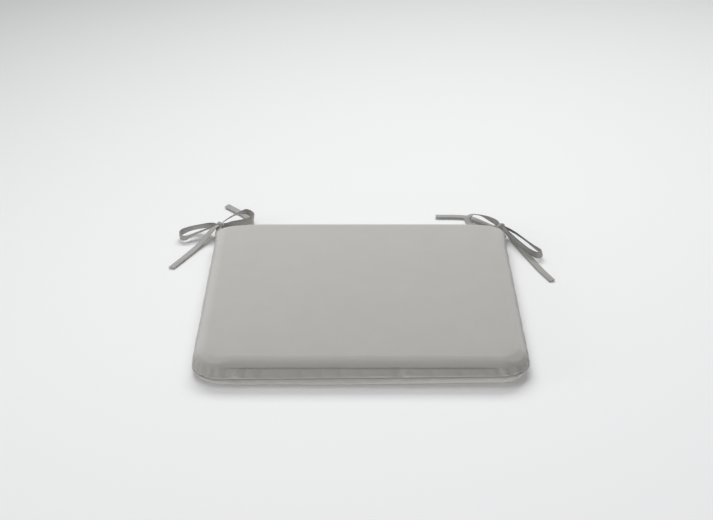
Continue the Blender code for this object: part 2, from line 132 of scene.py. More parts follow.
LADDER_PITCH = 0.0028  # of the stitches down in the seam
TOPSTITCH_START, TOPSTITCH_PITCH, TOPSTITCHES = -0.146, 0.0026, 113
TOPSTITCH_ROWS = ((0.00022, 0.0181), (0.00052, 0.0047))  # (in from the back, height)

# The knots' middles, from the sewn corner and the floor in millimetres, and their turn in degrees.
KNOTS = {"left": (-3.9, 31.9, 14, -8), "right": (4.9, 27.9, 14, 128)}
# Routes of the ribbon: x and y from the sewn corner and z from the floor, in millimetres, then lean
# in degrees and the share of the ribbon's width. With no lean it lies flat, and at 90 it is on edge.
ROOTS = {
    "left": (
        (0, 0, 11, 0, 1), (-3.2, 4.9, 11, 0, 1), (-4.9, 11.9, 11.5, 0, 0.9), (-4.7, 18.9, 12.5, 0, 0.8),
        (-4.5, 26.1, 14, 0, 0.7),
    ),
    "right": (
        (0, 0, 11, 0, 1), (3.9, 3.9, 10.3, 0, 1), (6.9, 9.4, 7.6, 0, 0.8), (5.9, 16.9, 6.4, 0, 0.7),
        (4.9, 24.9, 6.9, 0, 0.7),
    ),
}
STRETCHES = {
    "left": {
        "loop_outer": (
            (-11.2, 32.9, 14, -100, 0.7), (-19.9, 35.9, 12.5, -75, 0.9), (-33.9, 36.9, 10, -62, 1),
            (-46.9, 32.9, 8.5, -68, 1), (-57.4, 22.9, 7.5, -88, 1), (-58.4, 11.9, 6.5, -96, 1),
            (-49.9, 6.4, 6.5, -118, 1), (-36.9, 15.9, 9, -134, 1), (-22.9, 24.4, 11.5, -138, 0.9),
            (-11.5, 30.4, 12.5, -130, 0.7),
        ),
        "tail_front": (
            (-7.3, 24.9, 16.5, -6, 0.7), (-13.4, 18.4, 14, -8, 0.95), (-21.9, 4.9, 8, -10, 1),
            (-30.9, -12.1, 3.5, -8, 1), (-40.9, -34.1, 2, -5, 1), (-50.9, -56.6, 2, -5, 0.95),
            (-60.9, -79.1, 2, 0, 0.9),
        ),
        "loop_inner": (
            (4, 33.2, 14, -90, 0.7), (13.1, 36.9, 13.5, -80, 1), (25.1, 42.9, 13, -72, 1),
            (36.1, 51.9, 12.5, -82, 1), (41.6, 63.9, 11.5, -98, 1), (37.6, 76.9, 11.5, -100, 1),
            (29.1, 83.9, 12.5, -70, 1), (19.1, 74.9, 14, -48, 1), (9.1, 58.9, 15, -45, 0.9),
            (-1.1, 38.7, 15.5, -40, 0.7),
        ),
        "tail_rear": (
            (3.9, 27.2, 10, 0, 0.7), (13.1, 31.9, 4, 0, 0.9), (23.1, 40.9, 2, 0, 1), (33.1, 53.9, 2, 0, 1),
            (36.1, 71.9, 2, 3, 1), (28.1, 91.9, 2.2, 6, 0.95), (14.1, 108.9, 2.5, 10, 0.92),
            (-1.9, 126.9, 3, 14, 0.9),
        ),
    },
    "right": {
        "loop_outer": (
            (10, 22.5, 15, -110, 0.7), (16.4, 15.9, 14.5, -125, 0.9), (25.9, 2.9, 13.5, -126, 1),
            (36.9, -15.1, 11.5, -126, 1), (46.4, -32.1, 10, -118, 1), (54.4, -45.6, 8.5, -105, 1),
            (47.9, -52.1, 8, -85, 1), (37.9, -43.1, 9, -85, 1), (28.9, -25.1, 10, -80, 1),
            (19.9, -5.1, 11, -80, 1), (11.9, 9.9, 13, -90, 0.9), (7.4, 21.2, 14, -95, 0.7),
        ),
        "tail_front": (
            (9.9, 22.6, 9.6, 0, 0.7), (15.4, 15.9, 6.6, 0, 0.8), (20.4, 6.9, 3.6, 0, 1),
            (26.4, -10.1, 2, 0, 1), (32.9, -33.1, 2, 0, 0.97), (40.9, -59.1, 2, 0, 0.94),
            (49.9, -88.1, 2, 0, 0.9), (60.9, -118.1, 2, 0, 0.86),
        ),
        "loop_inner": (
            (1.6, 34.1, 15.5, -90, 0.7), (-6.1, 44.9, 16, -75, 1), (-14.1, 56.9, 15, -55, 1),
            (-23.1, 67.9, 14, -30, 1), (-32.1, 73.9, 12, -10, 1), (-39.1, 69.9, 8.5, 0, 1),
            (-38.1, 60.9, 5, 0, 1), (-30.1, 51.9, 3, 0, 1), (-19.1, 43.9, 3.5, 0, 1),
            (-9.1, 36.9, 7, -20, 0.9), (-2.6, 31.4, 11, -60, 0.7),
        ),
        "tail_rear": (
            (2.2, 35.1, 10, 0, 0.7), (-8.1, 50.9, 5, 0, 1), (-19.1, 66.9, 3, 3, 1),
            (-33.1, 81.9, 3, 3, 0.97), (-50.1, 87.9, 3, 2, 0.95), (-84.1, 88.9, 3, 1, 0.92),
        ),
    },
}

# Half of the ribbon's section, from its edge over the fold and the stitched groove to its middle, as
# shares of half the width and half the thickness.
RIBBON_EDGE = (
    (-1.0, 0.0), (-0.97, 0.5), (-0.88, 0.78), (-0.76, 0.62), (-0.68, 0.42), (-0.60, 0.66),
    (-0.42, 0.9), (-0.2, 1.0), (0.0, 1.0),
)

CAMERA_PLACE = (-0.0051, -1.7872, 0.9236)
CAMERA_PITCH = 25.58  # degrees down from level
# Area lights over and beside the pad: place, width, depth and share of the main light's power.
LAMPS = {
    "key_light": ((0.0, 1.6, 1.65), 2.0, 0.85, 1.75),
    "top_light": ((-0.25, 0.2, 1.45), 1.2, 0.9, 0.34),
    "side_light": ((-1.9, -0.5, 0.55), 0.8, 0.8, 0.30),
    "front_light": ((0.1, -2.0, 0.3), 1.6, 0.4, 0.21),
}


# ---- shader sums ----


class Value:
    """A number that varies over a surface, so that sums on it read as sums."""

    def __init__(self, finish, socket):
        self.finish, self.socket = finish, socket

    def math(self, operation, *others):
        sockets = dict(enumerate((self, *others)))
        return self.finish.node("ShaderNodeMath", {"operation": operation}, sockets)

    def __add__(self, other):
        return self.math("ADD", other)

    def __sub__(self, other):
        return self.math("SUBTRACT", other)

    def __rsub__(self, other):
        return self.finish.node("ShaderNodeMath", {"operation": "SUBTRACT"}, {0: other, 1: self})

    def __mul__(self, other):
        return self.math("MULTIPLY", other)

    __radd__, __rmul__ = __add__, __mul__


class Finish:
    """A material whose uniform values are set on its shader and whose varying ones are linked."""

    def __init__(self, name, **uniform):
        self.material = bpy.data.materials.new(name)
        self.material.use_nodes = True
        self.tree = self.material.node_tree
        self.shader = self.tree.nodes["Principled BSDF"]
        for socket, value in uniform.items():
            self.shader.inputs[socket.replace("_", " ")].default_value = value

    def node(self, kind, settings=None, sockets=None, output=0):
        """A new node with its settings, then the values or links of its sockets."""
        made = self.tree.nodes.new(kind)
        for setting, value in (settings or {}).items():
            setattr(made, setting, value)
        for socket, value in (sockets or {}).items():
            self.feed(made.inputs[socket], value)
        return Value(self, made.outputs[output])

    def feed(self, socket, value):
        if isinstance(value, Value):
            self.tree.links.new(value.socket, socket)
        else:
            socket.default_value = value

    def here(self):
        """The object's own coordinates."""
        return self.node("ShaderNodeTexCoord", None, None, 3)

    def noise(self, vector, scale, detail=3.0, roughness=0.5):
        sockets = {"Vector": vector, "Scale": scale, "Detail": detail, "Roughness": roughness}
        return self.node("ShaderNodeTexNoise", None, sockets)

    def stretched(self, vector, scale):
        return self.node("ShaderNodeVectorMath", {"operation": "MULTIPLY"}, {0: vector, 1: scale})

    def parts(self, vector):
        return [self.node("ShaderNodeSeparateXYZ", None, {0: vector}, axis) for axis in range(3)]

    def mix(self, factor, one, other):
        """A colour between two others."""
        return self.node("ShaderNodeMix", {"data_type": "RGBA"}, {0: factor, 6: one, 7: other}, 2)

    def bump(self, height, distance):
        normal = self.node("ShaderNodeBump", None, {"Distance": distance, "Height": height})
        self.feed(self.shader.inputs["Normal"], normal)

    def colour(self, value):
        self.feed(self.shader.inputs["Base Color"], value)

    def roughness(self, value):
        self.feed(self.shader.inputs["Roughness"], value)


def shade(colour, factor):
    return (*(min(1.0, part * factor) for part in colour[:3]), 1.0)


def woven(name, colour, pitch, contrast=0.14, depth=0.00012):
    """Plain-woven cloth: crossing threads, slubs along them, soft mottling, and the painted highlights and
    shade that the mesh carries.
    """
    made = Finish(name, Sheen_Weight=0.25, Sheen_Roughness=0.6, Specular_IOR_Level=0.25)
    cloth = made.node("ShaderNodeUVMap", {"uv_map": "Cloth"})
    u, v, _ = made.parts(cloth)
    warp = (u * (pi / pitch)).math("SINE")
    weft = (v * (pi / pitch)).math("SINE")
    over = warp * weft * 0.5 + 0.5
    threads = warp.math("ABSOLUTE") * over + weft.math("ABSOLUTE") * (1 - over)
    slub_along = made.noise(made.stretched(cloth, (90, 1600, 1)), 1.0, 2.0)
    slub_across = made.noise(made.stretched(cloth, (1600, 90, 1)), 1.0, 2.0)
    slubs = slub_along * 0.5 + slub_across * 0.5
    mottle = made.noise(cloth, 26.0, 4.0, 0.6)
    # Painted light from the mesh: a lighter band where light falls on the rolled edge, painted shade on the
    # ribbon's edges, and darker cloth along the seam.
    painted_light = made.node("ShaderNodeAttribute", {"attribute_name": "PaintedLight"}, None, 2)
    tone = slubs * 0.30 + mottle * 0.34 + threads * 0.16 + painted_light * 0.5 - 0.15
    made.colour(made.mix(tone, shade(colour, 1 - contrast), shade(colour, 1 + contrast)))
    made.roughness(slubs * 0.14 + 0.84)
    made.bump(threads * 0.75 + slubs * 0.6, depth)
    return made.material


def plastic(name, colour, roughness):
    """Moulded or drawn polymer with a faint mottle."""
    made = Finish(name)
    here = made.here()
    mottle = made.noise(here, 900.0)
    made.colour(made.mix(mottle, shade(colour, 0.88), shade(colour, 1.12)))
    made.roughness(mottle * 0.2 + roughness)
    made.bump(mottle, 0.00003)
    return made.material


def plated(name, colour):
    """Nickel-plated metal, polished by use, with fine scratches and dull spots."""
    made = Finish(name, Metallic=1.0)
    here = made.here()
    scratches = made.noise(made.stretched(here, (300, 4000, 4000)), 1.0)
    spots = made.noise(here, 700.0, 4.0)
    made.colour(made.mix(spots, shade(colour, 0.85), shade(colour, 1.08)))
    made.roughness(scratches * 0.18 + spots * 0.14 + 0.18)
    made.bump(scratches, 0.00001)
    return made.material


def foamed(name, colour):
    """Open-cell foam: fine round pores and a slightly yellowed skin."""
    made = Finish(name, Specular_IOR_Level=0.2)
    here = made.here()
    pores = made.node("ShaderNodeTexVoronoi", None, {"Vector": here, "Scale": 900.0})
    yellow = made.noise(here, 18.0)
    made.colour(made.mix(pores * 0.7 + yellow * 0.4, shade(colour, 0.72), shade(colour, 1.1)))
    made.roughness(pores * 0.1 + 0.88)
    made.bump(pores, 0.0004)
    return made.material


def fluffy(name, colour):
    """Wadding: crossed fine fibres over soft lumps."""
    made = Finish(name, Sheen_Weight=0.5, Specular_IOR_Level=0.2)
    here = made.here()
    fibres = made.noise(made.stretched(here, (260, 2400, 900)), 1.0, 4.0, 0.7)
    crossed = made.noise(made.stretched(here, (2400, 260, 900)), 1.0, 4.0, 0.7)
    lumps = made.noise(here, 70.0)
    made.colour(made.mix(fibres * 0.5 + crossed * 0.5, shade(colour, 0.86), shade(colour, 1.1)))
    made.roughness(lumps * 0.1 + 0.86)
    made.bump(fibres + crossed + lumps, 0.0006)
    return made.material


def floor_finish(name, dark, light):
    """Plain matt grey paper, painted lighter towards the front and the right: painted shade that evens out
    the key light's pool of light behind the pad.
    """
    made = Finish(name, Roughness=0.95, Specular_IOR_Level=0.1)
    here = made.here()
    x, y, _ = made.parts(here)
    # Painted shade: the paper darkens towards the back and the left.
    share = (0.78 - y * 0.34 + x * 0.16).math("MAXIMUM", 0.0).math("MINIMUM", 1.0)
    made.colour(made.mix(share, (dark, dark, dark, 1), (light, light, light, 1)))
    return made.material


# ---- helpers ----


def deselect():
    if bpy.context.mode != "OBJECT":
        bpy.ops.object.mode_set(mode="OBJECT")
    bpy.ops.object.select_all(action="DESELECT")


def select(obj):
    deselect()
    obj.select_set(True)
    bpy.context.view_layer.objects.active = obj
    return obj


def smooth(obj, angle=40):
    select(obj)
    bpy.ops.object.shade_smooth_by_angle(angle=radians(angle))
    return obj


def apply(obj, kind, **settings):
    """Adds a modifier with these settings and applies it."""
    select(obj)
    change = obj.modifiers.new(kind.title(), kind)
    for setting, value in settings.items():
        setattr(change, setting, value)
    bpy.ops.object.modifier_apply(modifier=change.name)
    return obj


def new_mesh(name, points, faces, uvs=None, painted_light=None):
    """An object with these points and faces. uvs is a place on the flat cloth for each point."""
    mesh = bpy.data.meshes.new(name)
    mesh.from_pydata(points, [], faces)
    if uvs is not None:
        layer = mesh.uv_layers.new(name="Cloth")
        flat = [part for loop in mesh.loops for part in uvs[loop.vertex_index]]
        layer.data.foreach_set("uv", flat)
    # Painted highlight and shade for each point, which the cloth's colour reads.
    if painted_light is not None:
        mesh.attributes.new("PaintedLight", "FLOAT", "POINT").data.foreach_set("value", painted_light)
    mesh.validate()
    obj = bpy.data.objects.new(name, mesh)
    bpy.context.scene.collection.objects.link(obj)
    return obj


def place(obj, body, slot, finish, *nodes):
    """Gives a finished piece its material and puts it on its body, in place of its CAD solids."""
    obj.data.materials.clear()
    obj.data.materials.append(finish)
    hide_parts(*nodes)
    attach(obj, body)
    return obj


def bell(distance, half_width):
    return exp(-((distance / half_width) ** 2) / 2)


def ramp(value, low, high):
    """0 at low and 1 at high, with soft ends."""
    share = min(1.0, max(0.0, (value - low) / (high - low)))
    return share * share * (3 - 2 * share)


def between(before, start, end, after, share):
    """The row at this share of the way from start to end, on a smooth line through all four."""
    return [
        b + share * (c - a + share * (2 * a - 5 * b + 4 * c - d + share * (3 * b - a - 3 * c + d))) / 2
        for a, b, c, d in zip(before, start, end, after)
    ]


def spline(points, step):
    """Rows about a step apart on a smooth line through points whose first three parts are a place."""
    first = [2 * a - b for a, b in zip(points[0], points[1])]
    last = [2 * a - b for a, b in zip(points[-1], points[-2])]
    padded = [first, *points, last]
    rows = []
    for i in range(1, len(padded) - 2):
        before, start, end, after = padded[i - 1 : i + 3]
        count = max(1, round((Vector(end[:3]) - Vector(start[:3])).length / step))
        rows += [between(before, start, end, after, k / count) for k in range(count)]
    return [*rows, list(points[-1])]


def resample(section, rows):
    """The section as this many rows, at equal shares of the way between its points."""
    last = len(section) - 1
    dense = []
    for i in range(rows):
        at = i / (rows - 1) * last
        k = min(int(at), last - 1)
        around = (section[max(k - 1, 0)], section[k], section[k + 1], section[min(k + 2, last)])
        dense.append(between(*around, at - k))
    return dense


# ---- the pad's surfaces ----


# Each side as (the way it is walked, the way it faces). CORNERS[side] is where it starts.
SIDES = (((1, 0), (0, -1)), ((0, 1), (1, 0)), ((-1, 0), (0, 1)), ((0, -1), (-1, 0)))


def plan(side, share, inset):
    """(point, outward direction, place from the side's middle) on the rounded square, this far in."""
    half = HALF - inset
    start = max(CORNERS[side] - inset, CORNERS[side] / 6)
    end = max(CORNERS[(side + 1) % 4] - inset, CORNERS[(side + 1) % 4] / 6)
    arcs = start * pi / 4, end * pi / 4
    straight = 2 * half - start - end
    travel = share * (arcs[0] + straight + arcs[1])
    if travel < arcs[0]:
        turn = (arcs[0] - travel) / start
        along, out = -half + start - start * sin(turn), half - start + start * cos(turn)
        normal = (-sin(turn), cos(turn))
    elif travel > arcs[0] + straight:
        turn = (travel - arcs[0] - straight) / end
        along, out = half - end + end * sin(turn), half - end + end * cos(turn)
        normal = (sin(turn), cos(turn))
    else:
        along, out = -half + start + travel - arcs[0], half
        normal = (0.0, 1.0)
    ahead, away = SIDES[side]
    point = Vector((ahead[0] * along + away[0] * out, ahead[1] * along + away[1] * out))
    outward = Vector(
        (ahead[0] * normal[0] + away[0] * normal[1], ahead[1] * normal[0] + away[1] * normal[1])
    )
    return point, outward, along


def spots(places, point):
    """The sum of soft spots, each (x, y, size, half width) in millimetres, at a point."""
    return sum(size * bell((point - Vector((x, y)) * MM).length / MM, wide) for x, y, size, wide in places)


def zip_share(point):
    """1 along the zip's opening in the back and 0 away from it."""
    if point.y < HALF - 0.012:
        return 0.0
    return 1 - ramp(abs(point.x), 0.149, 0.156)


def crease_share(side, spot):
    """1 where the cover folds in above the front skirt, and 0 where it rounds over smoothly."""
    return 1 - ramp(abs(spot.x), 0.140, 0.176) if side == 0 else 0.0


def pinch(spot, height):
    """How far the top's edge is pulled inwards here, in millimetres."""
    return ramp(height, 14.0, 21.0) * (1 - ramp(height, 30.0, 34.0)) * spots(PINCHES, spot)


def gather_depth(side, along, height):
    """How far the skirt is drawn in here by its gathers, in millimetres."""
    places = FRONT_GATHERS if side == 0 else SIDE_GATHERS
    reach = ramp(height, 12.2, 16.5) * (1 - ramp(height, 18.0, 24.5))
    total = sum(depth * bell(along / MM - middle, 0.8 * wide) for middle, depth, wide in places)
    drawn = total * reach * (GATHER_SCALE if side != 2 else BACK_GATHER_SCALE)
    return drawn / sqrt(1 + (drawn / DEEPEST_GATHER) ** 2)


def seam_lift(point):
    """How much higher the seam sits here than the CAD seam, in millimetres."""
    front = 1 - ramp(point.y, -0.19, -0.10)
    return (2.4 * (point.x / HALF) + 0.2) * front


def undercut(point, height):
    """How much further in the bottom edge turns under here, in millimetres."""
    front = 1 - ramp(point.y, -0.19, -0.1)
    corner = bell((abs(point.x) - 0.190) / MM, 16) if abs(point.x) < 0.19 else 1.0
    share = max(4.0 * ramp(point.x, -0.02, 0.16), 3.0 * corner)
    return share * (1 - ramp(height, 0.0, 9.0)) * front


def wander(point, height, size, amount, seed):
    """Slow ups and downs of about this amount, over about this size."""
    return amount * noise.noise(Vector((point.x / size, point.y / size, height / size * MM + seed)))


class Skin:
    """A surface of the pad, as rows round it from the section's start to a grid over the middle.

    The lower panel and the foam's floor face down, and the rest face up. The top panel's insets
    change towards its sides and its zip. A plain skin lies inside the cover and isn't gathered.
    """

    row_step = 1.1

    def __init__(self, section, columns, crown=0.0, up=True, plain=False):
        rows = len(spline([(*pair, 0.0) for pair in section], self.row_step))
        self.section = resample(section, rows)
        self.at_sides = resample([(inset,) for inset in SIDE_INSETS], rows)
        self.at_zip = resample([(inset,) for inset in ZIP_INSETS], rows)
        self.columns, self.crown, self.up, self.plain = columns, crown, up, plain

    def point(self, row, side, share):
        """(place, flat cloth place, painted light) on the skirt and roll."""
        inset, height = self.section[row]
        spot, _, along = plan(side, share, 0.0)
        painted_light = 0.0
        inset += undercut(spot, height)
        if self.up:
            inset += pinch(spot, height)
        if not self.plain:
            near_seam = max(0.0, 1 - abs(height - SEAM / MM) / 2.2)
            # Painted highlight: a lighter band round the top panel's rolled edge, where the light falls.
            # Both panels are also painted darker along the seam.
            painted_light = 0.8 * bell(height - 29.4, 2.6) * self.up - 0.5 * near_seam
            inset, height = self.sewn(row, inset, height, side, spot, along, near_seam)
        moved = plan(side, share, inset * MM)[0]
        base, outward, _ = plan(side, share, self.section[-1][0] * MM)
        cloth = base + outward * (self.run[-1] - self.run[row])
        return Vector((moved.x, moved.y, (height - self.dent(moved, height)) * MM)), cloth, painted_light

    def sewn(self, row, inset, height, side, spot, along, near_seam):
        """(inset, height) once the cover is gathered, nipped, rippled and opened for the zip."""
        zipped = zip_share(spot)
        if self.up:
            upright = max(zipped, 0.75 * ramp(spot.y, 0.12, HALF - 0.002))
            inset += (self.at_sides[row][0] - inset) * (1 - crease_share(side, spot))
            inset += (self.at_zip[row][0] - inset) * upright
        lift = seam_lift(spot) * max(0.0, 1 - abs(height - SEAM / MM) / 11)
        if self.up:
            opened = zipped * ZIP_GAP * (1 - ramp(height, 11.0, 20.0))
            inset += gather_depth(side, along, height)
            ripple = ramp(height, 11.2, 13.5) * (1 - ramp(height, 24.0, 31.0))
        else:
            opened = -zipped * ZIP_GAP * ramp(height, 2.0, 10.5)
            inset += 0.35 * gather_depth(side, along, 2 * SEAM / MM - height)
            ripple = 0.4 * (1 - near_seam)
        inset += spots([(x, y, NIP_DEPTH, NIP_WIDTH) for x, y in NIPS], spot) * near_seam
        rippling = wander(spot, height, 0.011, 0.35, 3.0) + wander(spot, height, 0.034, 0.5, 9.0)
        inset += rippling * ripple * (1 - zipped)
        if near_seam:
            inset -= zipped * max(0.0, inset - 0.5)
        return inset, height + lift + opened

    def dent(self, spot, height):
        """How far the rolled edge has sunk here, in millimetres."""
        if not self.up or height < 24:
            return 0.0
        return ramp(height, 24.0, 31.0) * spots(HOLLOWS, spot)

    def flat_point(self, ring, side, share):
        """(place, flat cloth place, painted light, none here) inside the roll. ring is 1 at its edge and 0
        at the middle.
        """
        edge, height = self.section[-1]
        inset = edge * MM + (HALF - edge * MM) * (1 - ring)
        spot = plan(side, share, inset)[0] if ring > 0 else Vector((0, 0))
        height += self.crown * (1 - ring * ring)
        if self.up and not self.plain:
            height += wander(spot, 0, 0.060, 0.35, 1.0) * (1 - ring**6)
            height += wander(spot, 0, 0.022, 0.10, 5.0)
        height -= self.dent(spot, height)
        return Vector((spot.x, spot.y, height * MM)), spot, 0.0

    def build(self, name):
        """The open surface as an object."""
        self.run = [0.0]
        for one, other in zip(self.section, self.section[1:]):
            self.run.append(self.run[-1] + (Vector(other) - Vector(one)).length * MM)
        n = self.columns // 8
        points, uvs, painted_lights, faces = [], [], [], []

        def add(found):
            points.append(found[0])
            uvs.append(found[1])
            painted_lights.append(found[2])
            return len(points) - 1

        def walk(k):
            return (k // (2 * n)) % 4, (k % (2 * n)) / (2 * n)

        count = len(self.section)
        rows = [[add(self.point(row, *walk(k))) for k in range(8 * n)] for row in range(count)]
        grid = {}
        for k in range(8 * n):
            grid[self.cell(k, n)] = rows[-1][k]
        for ring in range(n - 1, 0, -1):
            for k in range(8 * ring):
                side, share = k // (2 * ring), (k % (2 * ring)) / (2 * ring)
                grid[self.cell(k, ring)] = add(self.flat_point(ring / n, side, share))
        grid[0, 0] = add(self.flat_point(0.0, 0, 0.0))
        for low, high in zip(rows, rows[1:]):
            for k in range(8 * n):
                j = (k + 1) % (8 * n)
                faces.append((low[k], low[j], high[j], high[k]))
        for i in range(-n, n):
            for j in range(-n, n):
                faces.append((grid[i, j], grid[i + 1, j], grid[i + 1, j + 1], grid[i, j + 1]))
        obj = new_mesh(name, points, faces, uvs, painted_lights)
        if not self.up:
            obj.data.flip_normals()
        return obj

    @staticmethod
    def cell(k, ring):
        """The grid cell of the k-th point round a square ring, walked as the sides are."""
        side, step = k // (2 * ring), k % (2 * ring) - ring
        return ((step, -ring), (ring, step), (-step, ring), (-ring, -step))[side]


# ---- settings ----


def length(name, description, default, smallest=0.0):
    common = {"name": name, "description": description, "default": default, "min": smallest}
    return bpy.props.FloatProperty(**common, subtype="DISTANCE", unit="LENGTH", precision=4)


def number(name, description, default):
    return bpy.props.FloatProperty(name=name, description=description, default=default, min=0.0)


def tint(name, description, default):
    common = {"name": name, "description": description, "default": default}
    return bpy.props.FloatVectorProperty(**common, subtype="COLOR", size=3, min=0.0, max=1.0)


class CoverSettings(bpy.types.PropertyGroup):
    colour: tint("Cloth", "Colour of the cover and the ribbons", (0.425, 0.415, 0.392))
    thread_pitch: length("Thread pitch", "Distance between the cloth's threads", 0.00045, 0.0002)
    cloth: length("Cloth thickness", "Thickness of the sewn cover", 0.0009, 0.0003)
    crown: length("Crown", "How far the middle of the top stands above its edge", 0.0032)


class TieSettings(bpy.types.PropertyGroup):
    width: length("Ribbon width", "Width of the folded ribbon", 0.010, 0.004)
    thickness: length("Ribbon thickness", "Thickness of the ribbon at its middle", 0.0011, 0.0004)


class ZipSettings(bpy.types.PropertyGroup):
    coil_pitch: length("Coil pitch", "Distance between the coil's turns", 0.0015, 0.0008)
    filament: length("Filament", "Thickness of the coil's filament", 0.0006, 0.0002)
    metal: tint("Metal", "Colour of the slider, puller and stops", (0.62, 0.62, 0.60))


class StageSettings(bpy.types.PropertyGroup):
    light: number("Light", "Power of the main light", 20.5)
    table: number("Table", "Power of the light under the floor", 6.0)
    sky: number("Fill", "Strength of the even light", 0.36)
    lens: number("Lens", "Focal length in millimetres", 79.3)


# ---- pieces ----


class SEATPAD_OT_stage(bpy.types.Operator):
    """A pale floor, soft lights and a camera in front of the pad"""

    bl_idname = "seatpad.stage"
    bl_label = "Stage"

    def execute(self, context):
        settings = context.scene.seatpad_stage
        deselect()
        bpy.ops.mesh.primitive_plane_add(size=9.0, location=(0, 0, -0.0002))
        floor = context.object
        floor.name = "floor"
        floor.data.materials.append(floor_finish("floor_paper", 0.35, 0.92))
        # The light under the floor reaches the pad's turned-under edge through it.
        floor.visible_shadow = False
        for name, (at, width, depth, share) in LAMPS.items():
            self.lamp(name, at, (0, 0, 0), width, depth, settings.light * share)
        self.lamp("table_light", (0, -0.42, -0.8), (0, -0.2, 0), 1.6, 0.3, settings.table)
        world = bpy.data.worlds.new("even_light")
        world.use_nodes = True
        sky = world.node_tree.nodes["Background"].inputs
        sky["Color"].default_value = (0.97, 0.985, 1.0, 1)
        sky["Strength"].default_value = settings.sky
        context.scene.world = world
        context.scene.view_settings.view_transform = "Standard"
        camera = bpy.data.objects.new("camera", bpy.data.cameras.new("camera"))
        camera.location = CAMERA_PLACE
        camera.rotation_euler = (radians(90 - CAMERA_PITCH), 0, 0)
        camera.data.lens = settings.lens
        camera.data.sensor_width = 36.0
        context.scene.collection.objects.link(camera)
        context.scene.camera = camera
        return {"FINISHED"}

    def lamp(self, name, at, towards, width, depth, power):
        """A soft area light."""
        data = bpy.data.lights.new(name, "AREA")
        data.shape, data.size, data.size_y, data.energy = "RECTANGLE", width, depth, power
        obj = bpy.data.objects.new(name, data)
        obj.location = at
        obj.rotation_euler = (Vector(towards) - Vector(at)).to_track_quat("-Z", "Y").to_euler()
        bpy.context.scene.collection.objects.link(obj)


class SEATPAD_OT_ties(bpy.types.Operator):
    """The ribbon at each back corner: two strands that form the bow, and the knot that holds them"""

    bl_idname = "seatpad.ties"
    bl_label = "Ribbon ties"

    def execute(self, context):
        settings = context.scene.seatpad_tie
        cover = context.scene.seatpad_cover
        # The wide contrast deepens the painted shade on the ribbon's edges as well as its mottling.
        cloth = woven("ribbon_cloth", shade(cover.colour, 0.84), cover.thread_pitch, contrast=0.26)
        for side in ("left", "right"):
            corner = HINGES[f"tie_{side}_swing"]
            tie = f"tie_{side}"
            knot = self.knot(side, corner)
            outer, outer_path = self.strand(side, "outer", "front", 0.6, corner, settings)
            inner, inner_path = self.strand(side, "inner", "rear", -0.6, corner, settings)
            outer_nodes = (f"{tie}_root", f"{tie}_loop_outer", f"{tie}_tail_front")
            place(outer, tie, "ribbon", cloth, *outer_nodes)
            place(inner, tie, "ribbon", cloth, f"{tie}_loop_inner", f"{tie}_tail_rear")
            place(knot, tie, "ribbon", cloth, f"{tie}_knot")
            for strand, path, pieces in ((outer, outer_path, [knot]), (inner, inner_path, [])):
                reach = sum((b - a).length for a, b in zip(path, path[1:]))
        return {"FINISHED"}

    def strand(self, side, loop, tail, layer, corner, settings):
        """(ribbon, its path) from the seam through the knot, round a loop and out to a tail."""
        x, y, z, _ = KNOTS[side]
        sewn = ROOTS[side][0]
        hand = 1 if side == "right" else -1
        root = [(-2.2 * hand, -2.2, sewn[2], 0, 1), *ROOTS[side]]
        root = [(a, b, c + layer, lean, wide) for a, b, c, lean, wide in root]
        middle = (x, y, z + layer, 0, 0.45)
        stretches = STRETCHES[side]
        route = [*root, middle, *stretches[f"loop_{loop}"], middle, *stretches[f"tail_{tail}"]]
        return ribbon(f"tie_{side}_{loop}_strand", spline(route, 1.6), corner, settings)

    def knot(self, side, corner):
        """The drawn-up knot: a pinched wad with the turns of the ribbon across it."""
        x, y, z, turn = KNOTS[side]
        deselect()
        bpy.ops.mesh.primitive_uv_sphere_add(segments=48, ring_count=32, radius=1.0)
        obj = bpy.context.object
        obj.name = f"tie_{side}_wrap"
        seed = 2.0 if side == "left" else 7.0
        spin = Matrix.Rotation(radians(turn), 3, "Z")
        for vertex in obj.data.vertices:
            p = vertex.co.copy()
            band = bell(p.x + 0.25 * p.z, 0.42)
            second = bell(p.x * 0.8 - 0.7 * p.z + 0.2 * p.y, 0.26)
            groove = bell(abs(p.x + 0.25 * p.z) - 0.52, 0.10)
            reach = 0.80 + 0.20 * band + 0.12 * second - 0.16 * groove
            reach += 0.06 * noise.noise(Vector((p.x * 2.2 + seed, p.y * 2.2, p.z * 2.2)))
            p = Vector((p.x * 6.6 * (0.92 + 0.1 * band), p.y * 5.3 * reach, p.z * 5.7 * reach))
            vertex.co = (spin @ p + Vector((x, y, z))) * MM + Vector((corner.x, corner.y, 0))
        mesh = obj.data
        while mesh.uv_layers:
            mesh.uv_layers.remove(mesh.uv_layers[0])
        layer = mesh.uv_layers.new(name="Cloth")
        for loop in mesh.loops:
            at = mesh.vertices[loop.vertex_index].co
            layer.data[loop.index].uv = (at.x + at.y * 0.3, at.z + at.y * 0.5)
        mesh.attributes.new("PaintedLight", "FLOAT", "POINT")
        return smooth(obj, 60)


